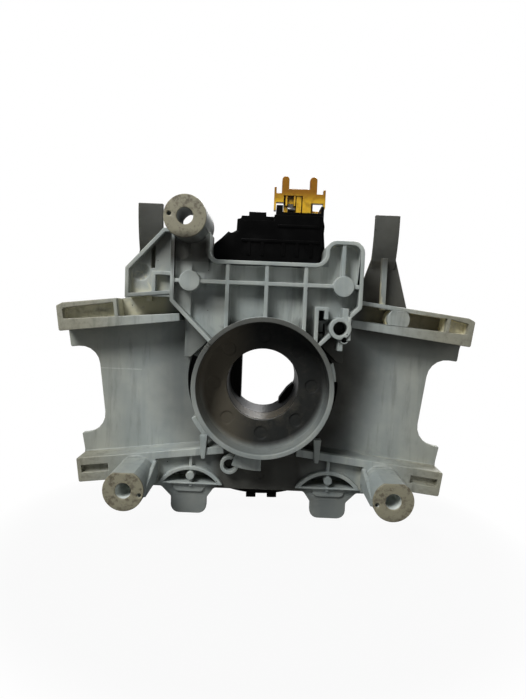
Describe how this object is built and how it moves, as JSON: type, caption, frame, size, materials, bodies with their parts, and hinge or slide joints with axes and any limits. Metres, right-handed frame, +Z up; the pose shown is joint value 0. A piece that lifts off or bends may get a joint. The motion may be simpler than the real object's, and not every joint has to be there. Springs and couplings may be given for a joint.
{
  "type": "steering clock spring",
  "caption": "Clock spring reel on its pale combination switch body, with a collar for the column, drooping switch sockets and a raised amber lock.",
  "frame": {"origin": "on the column axis, in the plane of the collar's rear rim", "axes": "+Y along the column towards the steering wheel, +Z up, +X to the right as seen from the column"},
  "size_m": [0.1848, 0.067, 0.1568],
  "materials": {
    "nylon": "natural glass-filled nylon, greyish white, greasy in the recesses",
    "black_plastic": "matt black moulding",
    "cam_plastic": "dark grey low-friction moulding",
    "pale_plastic": "natural acetal",
    "film": "thin slippery film",
    "flat_cable": "flat cable laminated in clear film",
    "amber_plastic": "amber moulding, half gloss",
    "pin_steel": "tinned",
    "spring_steel": "spring strip",
    "zinc_steel": "zinc plated"
  },
  "bodies": {
    "housing": {"switch_body": "nylon", "reel_base": "black_plastic", "terminal_cover": "black_plastic", "reel_cover": "black_plastic", "slip_sheet": "film", "flat_cable": "flat_cable", "outer_lead_block": "black_plastic", "rear_pins": "pin_steel", "reel_screws": "zinc_steel"},
    "rotor": {"rotor": "black_plastic", "cancel_cam": "cam_plastic", "inner_lead_block": "black_plastic", "front_pins": "pin_steel"},
    "carrier": {"roller_carrier": "pale_plastic"},
    "roller_1": {"roller_1": "pale_plastic"},
    "roller_2": {"roller_2": "pale_plastic"},
    "roller_3": {"roller_3": "pale_plastic"},
    "roller_4": {"roller_4": "pale_plastic"},
    "lock": {"lock_slide": "amber_plastic", "shorting_clip": "spring_steel"}
  },
  "joints": [
    {"name": "rotor_spin", "type": "hinge", "parent": "housing", "child": "rotor", "pos_m": [0, 0.04, 0], "axis": [0, 1, 0], "range_deg": [-900, 900], "deforming": ["flat_cable"]},
    {"name": "carrier_spin", "type": "hinge", "parent": "housing", "child": "carrier", "pos_m": [0, 0.04, 0], "axis": [0, 1, 0], "range_deg": [-380, 380]},
    {"name": "roller_1_spin", "type": "hinge", "parent": "carrier", "child": "roller_1", "pos_m": [0.04135, 0.04, 0], "axis": [0, 1, 0], "range_deg": [-2400, 2400]},
    {"name": "roller_2_spin", "type": "hinge", "parent": "carrier", "child": "roller_2", "pos_m": [0, 0.04, 0.04135], "axis": [0, 1, 0], "range_deg": [-2400, 2400]},
    {"name": "roller_3_spin", "type": "hinge", "parent": "carrier", "child": "roller_3", "pos_m": [-0.04135, 0.04, 0], "axis": [0, 1, 0], "range_deg": [-2400, 2400]},
    {"name": "roller_4_spin", "type": "hinge", "parent": "carrier", "child": "roller_4", "pos_m": [0, 0.04, -0.04135], "axis": [0, 1, 0], "range_deg": [-2400, 2400]},
    {"name": "lock_press", "type": "slide", "parent": "housing", "child": "lock", "axis": [0, 0, 1], "range_m": [-0.0025, 0]}
  ],
  "couplings": [
    {"joint": "carrier_spin", "follows": "rotor_spin", "ratio": 0.40719},
    {"joint": "roller_1_spin", "follows": "rotor_spin", "ratio": -2.601},
    {"joint": "roller_2_spin", "follows": "rotor_spin", "ratio": -2.601},
    {"joint": "roller_3_spin", "follows": "rotor_spin", "ratio": -2.601},
    {"joint": "roller_4_spin", "follows": "rotor_spin", "ratio": -2.601}
  ]
}
